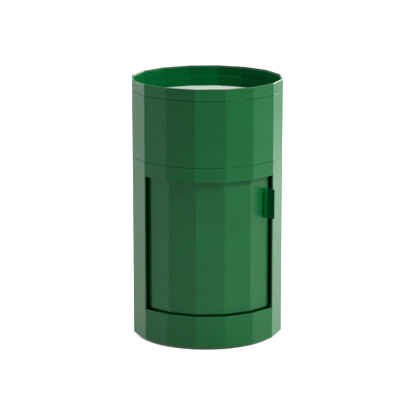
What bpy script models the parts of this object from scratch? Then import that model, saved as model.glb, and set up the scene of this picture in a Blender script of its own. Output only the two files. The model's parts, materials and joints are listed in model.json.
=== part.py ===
"""Sixteen-sided sheet-steel storage drum on castors, with a revolving door, a top bin and a tray lid.

Metres, +Z up. The origin is on the floor under the drum's centre, and the door faces -Y.
The door turns about the drum's axis, the lid lifts along it, and four castors stand in the skirt.
"""
import math

import bmesh
import bpy
from mathutils import Matrix

for old in list(bpy.data.objects):
    bpy.data.objects.remove(old, do_unlink=True)

# Clearances
SEAT = 0.0003
RUN = 0.0005

# Mesh fineness: how near two points are one, the angle that stays a sharp edge, and steps round a turn
MERGE = 0.00001
SHARP_ANGLE = 40.0
POST_STEPS = 16
RIVET_STEPS = 12
EYE_STEPS = 6

# Drum shells
SIDES = 16
ACROSS_FLATS = 0.400
SHEET = 0.0015
HEM_WIDTH = 0.0048
HEM_HEIGHT = 0.0060
SEAM_GAP = 0.0010
SKIRT_GAP = 0.0060
SILL_LIP = 0.0184
OPENING_SIDE_FACETS = 2
OPENING_HEIGHT = 0.3622
OPENING_EDGE = 0.0010
LINTEL_HEIGHT = 0.0380
BIN_HEIGHT = 0.1763
LID_HEIGHT = 0.0311

# Stiffening frame, collar, decks and shelf
FRAME_DEPTH = 0.0030
FRAME_LAP = 0.0120
COLLAR_LAP = 0.0180
DECK_SHEET = 0.0020
DECK_FLANGE = 0.0160
SHELF_SHEET = 0.0012
SHELF_RIM = 0.0140
SHELF_HEIGHT = 0.1980
SHELF_CLEARANCE = 0.0080
POST_RADIUS = 0.0050
POST_INSET = 0.0200
POST_AZIMUTHS = (-75.0, 75.0, 180.0)

# Door
DOOR_CLEARANCE = 0.0018
DOOR_SHEET = 0.0012
DOOR_CORE = 0.0064
DOOR_SIDE_TRIM = 0.0108
DOOR_FLANGE = 0.0200
DOOR_SILL_GAP = 0.0049
DOOR_LINTEL_LAP = 0.0080
CARRIER_END_GAP = 0.0120
CHANNEL_HEIGHT = 0.0120
DOOR_SWING = 102.0

# Door guide rings, glides and stops
TRACK_SHEET = 0.0015
TRACK_HEIGHT = 0.0080
TRACK_STEPS = 48
GROOVE_CLEARANCE = 0.0010
GLIDE_DEPTH = 0.0120
GLIDE_LENGTH = 0.0200
GLIDE_HEIGHT = 0.0210
FOOT_WIDTH = 0.0040
GLIDE_FACETS = (-2, 0, 2)
STOP_LENGTH = 0.0080

# Pull tab
TAB_SHEET = 0.0025
TAB_ALONG = 0.0134
TAB_FOOT = 0.0125
TAB_REACH = 0.0140
TAB_LIP = 0.0190
TAB_LIP_LEAN = 20.0
TAB_HEIGHT = 0.0796
TAB_DROP = 0.0320
RIVET_RADIUS = 0.0025
RIVET_HEAD = 0.0012
RIVET_INSET = 0.0160

# Tray lid
PAN_SHEET = 0.0012
PAN_CLEARANCE = 0.0020
LEDGE_RISE = 0.0034
TRAY_DEPTH = 0.0555
MAT_THICKNESS = 0.0020

# Castors
WHEEL_DIAMETER = 0.0500
TYRE_WIDTH = 0.0170
TYRE_THICKNESS = 0.0070
TYRE_ROUND = 0.0030
HUB_WIDTH = 0.0186
HUB_RADIUS = 0.0080
WHEEL_STEPS = 24
AXLE_RADIUS = 0.0030
AXLE_RUN = 0.0001
AXLE_END = 0.0010
TRAIL = 0.0180
FORK_GAP = 0.0007
FORK_SHEET = 0.0025
FORK_CROWN = 0.0045
FORK_HEADROOM = 0.0055
FORK_CROWN_REACH = 0.0200
FORK_EYE = 0.0085
KINGPIN_RADIUS = 0.0050
KINGPIN_RUN = 0.0002
KINGPIN_HEAD = 0.0075
KINGPIN_HEAD_HEIGHT = 0.0012
RACE_RADIUS = 0.0170
RACE_HEIGHT = 0.0069
PLATE_SIZE = 0.0600
PLATE_THICKNESS = 0.0025
CASTOR_CLEARANCE = 0.0270
CASTOR_AZIMUTHS = (45.0, 135.0, 225.0, 315.0)

# Apothems, the distances of flats from the axis, and radii that follow from the driving sizes
HALF_FACET = math.pi / SIDES
shell_apothem = ACROSS_FLATS / 2
lining_apothem = shell_apothem - SHEET - SEAT
hem_apothem = shell_apothem - HEM_WIDTH
frame_apothem = lining_apothem - FRAME_DEPTH
skin_apothem = (frame_apothem - DOOR_CLEARANCE) * math.cos(HALF_FACET)
carrier_apothem = skin_apothem - DOOR_SHEET - DOOR_CORE - SEAT
glide_radius = carrier_apothem - DOOR_SHEET - SEAT
track_radius = glide_radius - GLIDE_DEPTH / 2
groove_half = FOOT_WIDTH / 2 + GROOVE_CLEARANCE
track_inner = track_radius - groove_half - TRACK_SHEET
track_outer = track_radius + groove_half + TRACK_SHEET

# Heights that follow from the driving sizes, from the floor up
wheel_radius = WHEEL_DIAMETER / 2
crown_low = WHEEL_DIAMETER + FORK_HEADROOM
crown_high = crown_low + FORK_CROWN
race_low = crown_high + SEAT
plate_low = race_low + RACE_HEIGHT
plate_high = plate_low + PLATE_THICKNESS
deck_low = plate_high + SEAT
deck_high = deck_low + DECK_SHEET
sill_edge = deck_high + SILL_LIP
lintel_edge = sill_edge + OPENING_HEIGHT
bin_floor = lintel_edge + LINTEL_HEIGHT
bin_rim = bin_floor + BIN_HEIGHT
lid_rim = bin_rim + LID_HEIGHT
ceiling = bin_floor - DECK_SHEET
shelf_top = deck_high + SHELF_HEIGHT
track_top = deck_high + SEAT + TRACK_HEIGHT
upper_track_low = ceiling - SEAT - TRACK_HEIGHT
skin_low = sill_edge + DOOR_SILL_GAP
skin_high = lintel_edge + DOOR_LINTEL_LAP
carrier_low = deck_high + CARRIER_END_GAP
carrier_high = ceiling - CARRIER_END_GAP
tab_low = lintel_edge - TAB_DROP - TAB_HEIGHT

parts = bpy.data.collections.new("storage_drum")
cutters = bpy.data.collections.new("cutters")
for group in (parts, cutters):
    bpy.context.scene.collection.children.link(group)


def finish(name, colour, roughness, metallic):
    """A Principled material with the piece's colour."""
    made = bpy.data.materials.new(name)
    made.use_nodes = True
    shader = made.node_tree.nodes["Principled BSDF"]
    shader.inputs["Base Color"].default_value = (*colour, 1.0)
    shader.inputs["Roughness"].default_value = roughness
    shader.inputs["Metallic"].default_value = metallic
    return made


def place(name, mesh, material, group=parts):
    """A new object of this mesh in a collection."""
    made = bpy.data.objects.new(name, mesh)
    if material and not mesh.materials:
        mesh.materials.append(material)
    group.objects.link(made)
    return made


def corner(apothem):
    """Radius of the corners of the regular polygon whose flats lie at this apothem."""
    return apothem / math.cos(HALF_FACET)


def half_facet(apothem):
    """Half the width of one facet at this apothem."""
    return apothem * math.tan(HALF_FACET)


def facet_point(apothem, facet, along):
    """Plan point on a facet. Facet 0 faces -Y, and facets count towards +X."""
    turn = 2 * HALF_FACET * facet
    x = apothem * math.sin(turn) + along * math.cos(turn)
    y = along * math.sin(turn) - apothem * math.cos(turn)
    return x, y


def facet_line(apothem, last, end):
    """Plan points of a folded sheet, the same to both sides, ending along the facet numbered last."""
    points = [facet_point(apothem, -last, -end)]
    for facet in range(-last, last):
        points.append(facet_point(apothem, facet, half_facet(apothem)))
    points.append(facet_point(apothem, last, end))
    return points


def polar(radius, degrees):
    """Plan point at an azimuth counted from -Y towards +X."""
    return radius * math.sin(math.radians(degrees)), -radius * math.cos(math.radians(degrees))


def turned(name, profile, steps, material, closed=True):
    """A profile of (radius, height) points turned about Z; it runs down its outer side."""
    mesh = bpy.data.meshes.new(name)
    edges = [(i, i + 1) for i in range(len(profile) - 1)]
    if closed:
        edges.append((len(profile) - 1, 0))
    mesh.from_pydata([(r, 0.0, z) for r, z in profile], edges, [])
    made = place(name, mesh, material)
    screw = made.modifiers.new("turn", "SCREW")
    screw.steps = steps
    screw.render_steps = steps
    screw.use_merge_vertices = True
    screw.merge_threshold = MERGE
    screw.use_smooth_shade = steps > SIDES
    return made


def faceted(name, profile, material, closed=True):
    """A profile of (apothem, height) points carried round the drum's flats, one facet facing -Y."""
    made = turned(name, [(corner(a), z) for a, z in profile], SIDES, material, closed)
    made.rotation_euler.z = HALF_FACET
    return made


def baked(made):
    """The object's evaluated mesh; the object itself is removed."""
    bpy.context.view_layer.update()
    evaluated = made.evaluated_get(bpy.context.evaluated_depsgraph_get())
    mesh = bpy.data.meshes.new_from_object(evaluated)
    mesh.transform(made.matrix_world)
    bpy.data.objects.remove(made, do_unlink=True)
    return mesh


def extruded(name, outline, low, high):
    """Mesh of a flat plan outline raised from low to high."""
    curve = bpy.data.curves.new(name, "CURVE")
    curve.dimensions = "2D"
    curve.fill_mode = "BOTH"
    curve.extrude = (high - low) / 2
    spline = curve.splines.new("POLY")
    spline.points.add(len(outline) - 1)
    for point, (x, y) in zip(spline.points, outline):
        point.co = (x, y, 0.0, 1.0)
    spline.use_cyclic_u = True
    made = bpy.data.objects.new(name, curve)
    parts.objects.link(made)
    made.location.z = (low + high) / 2
    mesh = baked(made)
    mesh.name = name
    edit = bmesh.new()
    edit.from_mesh(mesh)
    bmesh.ops.remove_doubles(edit, verts=edit.verts, dist=MERGE)
    bmesh.ops.recalc_face_normals(edit, faces=edit.faces)
    edit.to_mesh(mesh)
    edit.free()
    return mesh


def block(name, size, centre):
    """Mesh of a box of this size about this centre."""
    mesh = bpy.data.meshes.new(name)
    edit = bmesh.new()
    bmesh.ops.create_cube(edit, size=1.0, matrix=Matrix.Translation(centre) @ Matrix.Diagonal((*size, 1.0)))
    edit.to_mesh(mesh)
    edit.free()
    return mesh


def rod(name, radius, low, high, segments, matrix=Matrix()):
    """Mesh of a cylinder along Z from low to high, then carried by the matrix."""
    mesh = bpy.data.meshes.new(name)
    edit = bmesh.new()
    centre = Matrix.Translation((0.0, 0.0, (low + high) / 2))
    bmesh.ops.create_cone(edit, cap_ends=True, segments=segments, radius1=radius, radius2=radius,
                          depth=high - low, matrix=matrix @ centre)
    edit.to_mesh(mesh)
    edit.free()
    mesh.shade_smooth()
    mesh.set_sharp_from_angle(angle=math.radians(SHARP_ANGLE))
    return mesh


def cutter(name, mesh):
    """An object that only cuts or joins others."""
    made = place(name, mesh, None, cutters)
    made.hide_render = True
    made.display_type = "WIRE"
    return made


def combine(target, tool, operation):
    """Cuts, clips or joins the target with the tool."""
    boolean = target.modifiers.new(tool.name, "BOOLEAN")
    boolean.operation = operation
    boolean.object = tool
    boolean.solver = "EXACT"


def folded_sheet(name, outer, thickness, last, end, low, high):
    """Mesh of a sheet folded along the drum's facets, from its outer apothem inwards."""
    outline = facet_line(outer, last, end) + facet_line(outer - thickness, last, end)[::-1]
    return extruded(name, outline, low, high)


green_coat = finish("green_coat", (0.007, 0.150, 0.038), 0.38, 0.0)
zinc_steel = finish("zinc_steel", (0.55, 0.56, 0.56), 0.42, 1.0)
white_nylon = finish("white_nylon", (0.78, 0.78, 0.75), 0.50, 0.0)
black_rubber = finish("black_rubber", (0.020, 0.020, 0.021), 0.75, 0.0)
tyre_rubber = finish("tyre_rubber", (0.020, 0.020, 0.021), 0.80, 0.0)
grey_nylon = finish("grey_nylon", (0.16, 0.16, 0.165), 0.55, 0.0)
pale_mat = finish("pale_mat", (0.56, 0.66, 0.57), 0.70, 0.0)

# Opening: five facets wide, cut radially just inside the folds so that the jamb keeps its corner
opening_half = math.degrees((2 * OPENING_SIDE_FACETS + 1) * HALF_FACET)
edge_angle = math.degrees(OPENING_EDGE / corner(shell_apothem))
lap_angle = math.degrees(FRAME_LAP / corner(shell_apothem))


def wedge(name, half_angle, low, high):
    """A cutter that reaches from inside the drum out past its front, to both sides of -Y."""
    near = shell_apothem / 2
    far = 2 * shell_apothem
    outline = [polar(near, -half_angle), polar(far, -half_angle), polar(far, 0.0),
               polar(far, half_angle), polar(near, half_angle)]
    return cutter(name, extruded(name, outline, low, high))


door_opening = wedge("door_opening", opening_half - edge_angle, sill_edge, lintel_edge)
frame_reach = wedge("frame_reach", opening_half + lap_angle, sill_edge - 2 * FRAME_LAP, lintel_edge + 2 * FRAME_LAP)

# Lower shell: one folded sheet with a hemmed skirt edge
lower_shell = faceted("lower_shell", [
    (shell_apothem, bin_floor - SEAM_GAP / 2),
    (shell_apothem, SKIRT_GAP),
    (hem_apothem, SKIRT_GAP),
    (hem_apothem, SKIRT_GAP + HEM_HEIGHT),
    (shell_apothem - SHEET, SKIRT_GAP + HEM_HEIGHT),
    (shell_apothem - SHEET, bin_floor - SEAM_GAP / 2),
], green_coat)
combine(lower_shell, door_opening, "DIFFERENCE")

# Opening frame: a strip behind the edges of the opening, which gives the jambs their thickness
opening_frame = faceted("opening_frame", [
    (lining_apothem, lintel_edge + FRAME_LAP),
    (lining_apothem, sill_edge - FRAME_LAP),
    (frame_apothem, sill_edge - FRAME_LAP),
    (frame_apothem, lintel_edge + FRAME_LAP),
], green_coat)
combine(opening_frame, frame_reach, "INTERSECT")
combine(opening_frame, door_opening, "DIFFERENCE")

# Upper shell: wall of the top bin, hemmed where the lid sits on it
faceted("upper_shell", [
    (shell_apothem, bin_rim - SEAM_GAP / 2),
    (shell_apothem, bin_floor + SEAM_GAP / 2),
    (shell_apothem - SHEET, bin_floor + SEAM_GAP / 2),
    (shell_apothem - SHEET, bin_rim - SEAM_GAP / 2 - HEM_HEIGHT),
    (hem_apothem, bin_rim - SEAM_GAP / 2 - HEM_HEIGHT),
    (hem_apothem, bin_rim - SEAM_GAP / 2),
], green_coat)

# Joining collar: a band behind the lower seam, fixed to both shells
collar_apothem = lining_apothem - SHEET
faceted("joining_collar", [
    (lining_apothem, bin_floor + COLLAR_LAP),
    (lining_apothem, bin_floor - COLLAR_LAP),
    (collar_apothem, bin_floor - COLLAR_LAP),
    (collar_apothem, bin_floor + COLLAR_LAP),
], zinc_steel)


def pan(name, apothem, top, sheet, rim, material):
    """A flat deck with a rim turned down all round."""
    faceted(name, [
        (0.0, top),
        (apothem, top),
        (apothem, top - rim),
        (apothem - sheet, top - rim),
        (apothem - sheet, top - sheet),
        (0.0, top - sheet),
    ], material, closed=False)


# Decks and shelf
pan("base_deck", lining_apothem, deck_high, DECK_SHEET, DECK_FLANGE, green_coat)
pan("mid_deck", collar_apothem - SEAT, bin_floor, DECK_SHEET, DECK_FLANGE, green_coat)
shelf_apothem = (track_inner - SHELF_CLEARANCE) * math.cos(HALF_FACET)
pan("shelf", shelf_apothem, shelf_top, SHELF_SHEET, SHELF_RIM, green_coat)

# Shelf posts: from the base deck to the shelf, and from the shelf to the mid deck
post_spans = {
    "lower": (deck_high + SEAT, shelf_top - SHELF_SHEET - SEAT),
    "upper": (shelf_top + SEAT, ceiling - SEAT),
}
for level, (low, high) in post_spans.items():
    for number, azimuth in enumerate(POST_AZIMUTHS, 1):
        post = place(f"{level}_post_{number}", rod("post", POST_RADIUS, low, high, POST_STEPS), zinc_steel)
        post.location = (*polar(track_inner - POST_INSET, azimuth), 0.0)

# Guide rings: a round channel on the base deck, and the same channel hung under the mid deck
lower_floor = deck_high + SEAT
upper_roof = ceiling - SEAT
track_section = ((track_outer, TRACK_HEIGHT), (track_outer, 0.0), (track_inner, 0.0),
                 (track_inner, TRACK_HEIGHT), (track_inner + TRACK_SHEET, TRACK_HEIGHT),
                 (track_inner + TRACK_SHEET, TRACK_SHEET), (track_outer - TRACK_SHEET, TRACK_SHEET),
                 (track_outer - TRACK_SHEET, TRACK_HEIGHT))
lower_section = [(r, lower_floor + h) for r, h in track_section]
upper_section = [(r, upper_roof - h) for r, h in track_section][::-1]
turned("lower_guide_ring", lower_section, TRACK_STEPS, zinc_steel)
turned("upper_guide_ring", upper_section, TRACK_STEPS, zinc_steel)

# Door stops: rubber blocks in the lower channel that the end glides meet
foot_angle = math.degrees((GLIDE_LENGTH / 2 + STOP_LENGTH / 2 + RUN) / track_radius)
glide_step = math.degrees(2 * HALF_FACET)
stop_azimuths = {
    "closed_stop": max(GLIDE_FACETS) * glide_step + foot_angle,
    "open_stop": min(GLIDE_FACETS) * glide_step - DOOR_SWING - foot_angle,
}
stop_low = lower_floor + TRACK_SHEET + SEAT
stop_high = lower_floor + TRACK_HEIGHT
for name, azimuth in stop_azimuths.items():
    stop_size = (STOP_LENGTH, FOOT_WIDTH, stop_high - stop_low)
    stop_centre = (0.0, -track_radius, (stop_low + stop_high) / 2)
    stop = place(name, block(name, stop_size, stop_centre), black_rubber)
    stop.rotation_euler.z = math.radians(azimuth)

# Door skin: the shown leaf, with a flange folded back along each side that laps behind the jamb
skin_last = OPENING_SIDE_FACETS
skin_end = half_facet(skin_apothem) - DOOR_SIDE_TRIM
inner_end = skin_end - DOOR_SHEET * math.tan(HALF_FACET)
facet_turn = 2 * HALF_FACET
flange_apothem = skin_apothem * math.cos(facet_turn) + skin_end * math.sin(facet_turn)
flange_end = skin_end * math.cos(facet_turn) - skin_apothem * math.sin(facet_turn) + DOOR_FLANGE


def flanged_line(apothem, end, side_apothem):
    """Plan points of one face of the leaf, from the end of one flange to the end of the other."""
    points = facet_line(apothem, skin_last, end)
    points.insert(0, facet_point(side_apothem, -skin_last - 1, -flange_end))
    points.append(facet_point(side_apothem, skin_last + 1, flange_end))
    return points


skin_outline = flanged_line(skin_apothem, skin_end, flange_apothem)
skin_outline += flanged_line(skin_apothem - DOOR_SHEET, inner_end, flange_apothem - DOOR_SHEET)[::-1]
place("door_skin", extruded("door_skin", skin_outline, skin_low, skin_high), green_coat)

# Door carrier: the sheet behind, taller than the leaf, which holds the glides
place("door_carrier", folded_sheet("door_carrier", carrier_apothem, DOOR_SHEET, skin_last, inner_end,
                                   carrier_low, carrier_high), green_coat)

# Door channels: strips that close the space between skin and carrier at its top and bottom
channel_outer = skin_apothem - DOOR_SHEET - SEAT
channel_depth = channel_outer - carrier_apothem - SEAT
channel_end = inner_end - SEAT
channel_levels = {"door_bottom_channel": skin_low, "door_top_channel": skin_high - CHANNEL_HEIGHT}
for name, low in channel_levels.items():
    place(name, folded_sheet(name, channel_outer, channel_depth, skin_last, channel_end, low,
                             low + CHANNEL_HEIGHT), zinc_steel)

# Glides: nylon blocks on the carrier's inner face, each with a foot in its guide ring
upright = Matrix.Rotation(math.radians(90.0), 4, "X")


def glide_mesh(name, foot_end, block_start, block_end):
    """A glide's section in radius and height, as wide as its length along the door."""
    inner = glide_radius - GLIDE_DEPTH
    foot_inner = track_radius - FOOT_WIDTH / 2
    foot_outer = track_radius + FOOT_WIDTH / 2
    outline = [(glide_radius, block_start), (glide_radius, block_end), (inner, block_end),
               (inner, block_start), (foot_inner, block_start), (foot_inner, foot_end),
               (foot_outer, foot_end), (foot_outer, block_start)]
    mesh = extruded(name, outline, -GLIDE_LENGTH / 2, GLIDE_LENGTH / 2)
    mesh.transform(Matrix.Rotation(math.radians(-90.0), 4, "Z") @ upright)
    return mesh


lower_glide = glide_mesh("lower_glide", lower_floor + TRACK_SHEET + SEAT, track_top + RUN,
                         track_top + RUN + GLIDE_HEIGHT)
upper_glide = glide_mesh("upper_glide", upper_roof - TRACK_SHEET - RUN, upper_track_low - RUN,
                         upper_track_low - RUN - GLIDE_HEIGHT)
for level, mesh in (("lower", lower_glide), ("upper", upper_glide)):
    for number, facet in enumerate(GLIDE_FACETS, 1):
        glide = place(f"{level}_glide_{number}", mesh, white_nylon)
        glide.rotation_euler.z = 2 * HALF_FACET * facet

# Pull tab: a foot riveted to the skin, a leg standing off it and a lip that leans to the right
tab_facet = OPENING_SIDE_FACETS
tab_foot_apothem = skin_apothem + SEAT
lean = math.radians(TAB_LIP_LEAN)
bend_inset = TAB_SHEET * math.tan(lean / 2)
lip_along = TAB_LIP * math.sin(lean)
lip_out = TAB_LIP * math.cos(lean)
edge_along = TAB_SHEET * math.cos(lean)
edge_out = -TAB_SHEET * math.sin(lean)
tab_section = [
    (0.0, 0.0),
    (0.0, TAB_REACH),
    (lip_along, TAB_REACH + lip_out),
    (lip_along + edge_along, TAB_REACH + lip_out + edge_out),
    (TAB_SHEET, TAB_REACH - bend_inset),
    (TAB_SHEET, TAB_SHEET),
    (TAB_FOOT, TAB_SHEET),
    (TAB_FOOT, 0.0),
]
tab_outline = [facet_point(tab_foot_apothem + out, tab_facet, TAB_ALONG + along) for along, out in tab_section]
place("pull_tab", extruded("pull_tab", tab_outline, tab_low, tab_low + TAB_HEIGHT), green_coat)

# Tab rivets: two heads on the tab's foot
rivet_along = TAB_ALONG + (TAB_SHEET + TAB_FOOT) / 2
rivet_levels = (tab_low + RIVET_INSET, tab_low + TAB_HEIGHT - RIVET_INSET)
rivet_base = tab_foot_apothem + TAB_SHEET + SEAT
for number, level in enumerate(rivet_levels, 1):
    rivet = place(f"tab_rivet_{number}", rod("tab_rivet", RIVET_RADIUS, rivet_base, rivet_base + RIVET_HEAD,
                                             RIVET_STEPS, upright), zinc_steel)
    rivet.rotation_euler.z = 2 * HALF_FACET * tab_facet
    rivet.location = (*facet_point(0.0, tab_facet, rivet_along), level)

# Lid ring: the hemmed band above the upper seam
ring_low = bin_rim + SEAM_GAP / 2
faceted("lid_ring", [
    (shell_apothem, lid_rim),
    (shell_apothem, ring_low),
    (shell_apothem - SHEET, ring_low),
    (shell_apothem - SHEET, lid_rim - HEM_HEIGHT),
    (hem_apothem, lid_rim - HEM_HEIGHT),
    (hem_apothem, lid_rim),
], green_coat)

# Lid pan: the tray, stepped in at a ledge so that it rests on the bin's hem and drops into it
ledge_low = bin_rim - SEAM_GAP / 2 + SEAT
ledge_high = ledge_low + LEDGE_RISE
spigot_apothem = hem_apothem - PAN_CLEARANCE
mat_low = lid_rim - TRAY_DEPTH - MAT_THICKNESS
tray_floor = mat_low - SEAT
faceted("lid_pan", [
    (0.0, tray_floor),
    (spigot_apothem - PAN_SHEET, tray_floor),
    (spigot_apothem - PAN_SHEET, ledge_high),
    (lining_apothem - PAN_SHEET, ledge_high),
    (lining_apothem - PAN_SHEET, lid_rim - HEM_HEIGHT - SEAT),
    (lining_apothem, lid_rim - HEM_HEIGHT - SEAT),
    (lining_apothem, ledge_low),
    (spigot_apothem, ledge_low),
    (spigot_apothem, tray_floor - PAN_SHEET),
    (0.0, tray_floor - PAN_SHEET),
], green_coat, closed=False)

# Tray mat: a pale sheet laid on the tray's floor
mat_apothem = spigot_apothem - PAN_SHEET - RUN
faceted("tray_mat", [
    (0.0, mat_low + MAT_THICKNESS),
    (mat_apothem, mat_low + MAT_THICKNESS),
    (mat_apothem, mat_low),
    (0.0, mat_low),
], pale_mat, closed=False)

# Castor plate: a square top plate with its bearing race and riveted kingpin
kingpin_head_top = crown_low - SEAT
plate_core = turned("castor_plate", [
    (0.0, plate_low + PLATE_THICKNESS / 2),
    (RACE_RADIUS, plate_low + PLATE_THICKNESS / 2),
    (RACE_RADIUS, race_low),
    (KINGPIN_RADIUS, race_low),
    (KINGPIN_RADIUS, kingpin_head_top),
    (KINGPIN_HEAD, kingpin_head_top),
    (KINGPIN_HEAD, kingpin_head_top - KINGPIN_HEAD_HEIGHT),
    (0.0, kingpin_head_top - KINGPIN_HEAD_HEIGHT),
], WHEEL_STEPS, zinc_steel, closed=False)
plate_sheet = cutter("plate_sheet", block("plate_sheet", (PLATE_SIZE, PLATE_SIZE, PLATE_THICKNESS),
                                          (0.0, 0.0, plate_low + PLATE_THICKNESS / 2)))
combine(plate_core, plate_sheet, "UNION")
plate_mesh = baked(plate_core)

# Castor fork: a trailing fork with a crown on the kingpin and an eye round the axle
hub_half = HUB_WIDTH / 2
slot_half = hub_half + FORK_GAP
fork_half = slot_half + FORK_SHEET
eye_points = []
for step in range(EYE_STEPS + 1):
    eye_turn = -math.pi * step / EYE_STEPS
    eye_points.append((TRAIL + FORK_EYE * math.cos(eye_turn), wheel_radius + FORK_EYE * math.sin(eye_turn)))
fork_outline = [(-FORK_CROWN_REACH, crown_low), (-FORK_CROWN_REACH, crown_high),
                (FORK_CROWN_REACH, crown_high), *eye_points]
fork_blank = extruded("castor_fork", fork_outline, -fork_half, fork_half)
fork_blank.transform(upright)
fork_body = place("castor_fork", fork_blank, zinc_steel)
slot_reach = TRAIL + WHEEL_DIAMETER
wheel_slot = cutter("wheel_slot", block("wheel_slot", (2 * slot_reach, 2 * slot_half, 2 * crown_low),
                                        (0.0, 0.0, 0.0)))
kingpin_bore = cutter("kingpin_bore", rod("kingpin_bore", KINGPIN_RADIUS + KINGPIN_RUN, wheel_radius,
                                          crown_high + FORK_CROWN, WHEEL_STEPS))
axle_place = Matrix.Translation((TRAIL, 0.0, wheel_radius)) @ upright
axle_bore = cutter("axle_bore", rod("axle_bore", AXLE_RADIUS + AXLE_RUN, -2 * fork_half, 2 * fork_half,
                                    WHEEL_STEPS, axle_place))
for tool in (wheel_slot, kingpin_bore, axle_bore):
    combine(fork_body, tool, "DIFFERENCE")
fork_mesh = baked(fork_body)

# Castor axle, hub and tyre, turned about the axle with a flat of the tyre on the floor
facet_shrink = math.cos(math.pi / WHEEL_STEPS)
tread_radius = wheel_radius / facet_shrink
bead_radius = tread_radius - TYRE_THICKNESS
tyre_half = TYRE_WIDTH / 2
bore_radius = AXLE_RADIUS + AXLE_RUN
axle_length = fork_half + AXLE_END
axle_mesh = rod("castor_axle", AXLE_RADIUS, -axle_length, axle_length, WHEEL_STEPS, upright)
hub_mesh = baked(turned("castor_hub", [
    (HUB_RADIUS, hub_half),
    (bead_radius - SEAT, tyre_half - TYRE_ROUND),
    (bead_radius - SEAT, TYRE_ROUND - tyre_half),
    (HUB_RADIUS, -hub_half),
    (bore_radius, -hub_half),
    (bore_radius, hub_half),
], WHEEL_STEPS, grey_nylon))
tyre_mesh = baked(turned("castor_tyre", [
    (tread_radius - TYRE_ROUND, tyre_half),
    (tread_radius, tyre_half - TYRE_ROUND),
    (tread_radius, TYRE_ROUND - tyre_half),
    (tread_radius - TYRE_ROUND, -tyre_half),
    (bead_radius, -tyre_half),
    (bead_radius, tyre_half),
], WHEEL_STEPS, tyre_rubber))
half_step = Matrix.Rotation(math.pi / WHEEL_STEPS, 4, "Z")
for mesh in (hub_mesh, tyre_mesh):
    mesh.transform(upright @ half_step)

# The four castors, each trailing outwards inside the skirt
castor_swing = TRAIL + tread_radius
castor_pitch = hem_apothem - castor_swing - CASTOR_CLEARANCE
castor_pieces = {"castor_plate": plate_mesh, "castor_fork": fork_mesh}
wheel_pieces = {"castor_axle": axle_mesh, "castor_hub": hub_mesh, "castor_tyre": tyre_mesh}
for number, azimuth in enumerate(CASTOR_AZIMUTHS, 1):
    swivel = bpy.data.objects.new(f"castor_axis_{number}", None)
    parts.objects.link(swivel)
    swivel.location = (*polar(castor_pitch, azimuth), 0.0)
    swivel.rotation_euler.z = math.radians(azimuth - 90.0)
    for name, mesh in castor_pieces.items():
        piece = place(f"{name}_{number}", mesh, zinc_steel)
        piece.parent = swivel
    for name, mesh in wheel_pieces.items():
        piece = place(f"{name}_{number}", mesh, zinc_steel)
        piece.parent = swivel
        piece.location = (TRAIL, 0.0, wheel_radius)
bpy.context.view_layer.update()
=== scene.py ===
"""Looks of a sixteen-sided sheet-steel storage drum: revolving door, top bin, tray lid and castors.

Metres, +Z up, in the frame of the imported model. The door faces -Y, and its pull tab is towards +X.
"""

import json
import math

import bmesh
import bpy
from mathutils import Matrix, Vector


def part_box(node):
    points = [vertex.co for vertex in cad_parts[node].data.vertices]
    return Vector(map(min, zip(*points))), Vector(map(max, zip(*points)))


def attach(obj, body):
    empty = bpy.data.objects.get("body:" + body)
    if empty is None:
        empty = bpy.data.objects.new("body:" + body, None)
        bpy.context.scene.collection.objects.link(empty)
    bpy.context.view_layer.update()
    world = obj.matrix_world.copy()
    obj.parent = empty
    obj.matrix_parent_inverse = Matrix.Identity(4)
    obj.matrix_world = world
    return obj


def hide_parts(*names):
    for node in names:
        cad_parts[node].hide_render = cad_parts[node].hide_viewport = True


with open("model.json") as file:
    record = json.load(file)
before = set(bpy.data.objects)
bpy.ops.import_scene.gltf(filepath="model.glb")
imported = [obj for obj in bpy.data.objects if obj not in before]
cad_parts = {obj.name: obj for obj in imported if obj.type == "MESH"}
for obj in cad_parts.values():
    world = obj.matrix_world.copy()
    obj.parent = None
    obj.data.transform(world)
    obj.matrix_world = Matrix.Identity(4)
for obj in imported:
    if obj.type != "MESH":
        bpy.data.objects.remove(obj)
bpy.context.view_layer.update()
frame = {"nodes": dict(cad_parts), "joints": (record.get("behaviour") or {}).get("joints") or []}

# Lower shell
# The body of the drum: one steel sheet folded into sixteen flats, with the door's opening cut out of
# five of them. Its skirt is turned inwards in a rolled hem, and the whole is powder coated.
FLATS = 16
HALF_FLAT = math.pi / FLATS
DOOR_FLATS = 5
DOOR_LAST = DOOR_FLATS // 2
SHELL_SHEET = 0.0015
FOLD_RADIUS = 0.0050
FOLD_STEPS = 4
HEM_WIDTH = 0.0048
HEM_RETURN = 0.0060
HEM_ROUND = 0.0022
BEND_STEPS = 5
EDGE_ROUND = 0.00035
EASE_LIMIT = math.radians(50.0)
MERGE = 0.00001
WEAR_AND_HIGHLIGHT_START = 0.2
WEAR_AND_HIGHLIGHT_SPAN = 0.4
FRAME_LAP = 0.0120
GREEN = (0.001, 0.154, 0.033)
GREEN_DEEP = (0.001, 0.145, 0.031)
# The thin green is also used as a painted highlight along the edges.
GREEN_THIN_AND_HIGHLIGHT = (0.012, 0.215, 0.062)
GLOSS = 0.21
COAT_SMOOTH = 0.29
COAT_ROUGH = 0.36


def flat_point(apothem, flat, along):
    """Plan point on one of the drum's flats. Flat 0 faces -Y, and the flats count towards +X."""
    turn = 2 * HALF_FLAT * flat
    x = apothem * math.sin(turn) + along * math.cos(turn)
    y = along * math.sin(turn) - apothem * math.cos(turn)
    return x, y, 0.0


def half_width(apothem):
    """Half the width of one flat."""
    return apothem * math.tan(HALF_FLAT)


def ring(apothem):
    """Plan corners of a whole ring of flats."""
    return [flat_point(apothem, flat, half_width(apothem)) for flat in range(FLATS)]


def polyline(name, points, closed):
    """A mesh of edges along these points, the starting line of a node tree."""
    edges = [(i, i + 1) for i in range(len(points) - 1)]
    if closed:
        edges.append((len(points) - 1, 0))
    mesh = bpy.data.meshes.new(name)
    mesh.from_pydata(points, edges, [])
    return mesh


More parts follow.
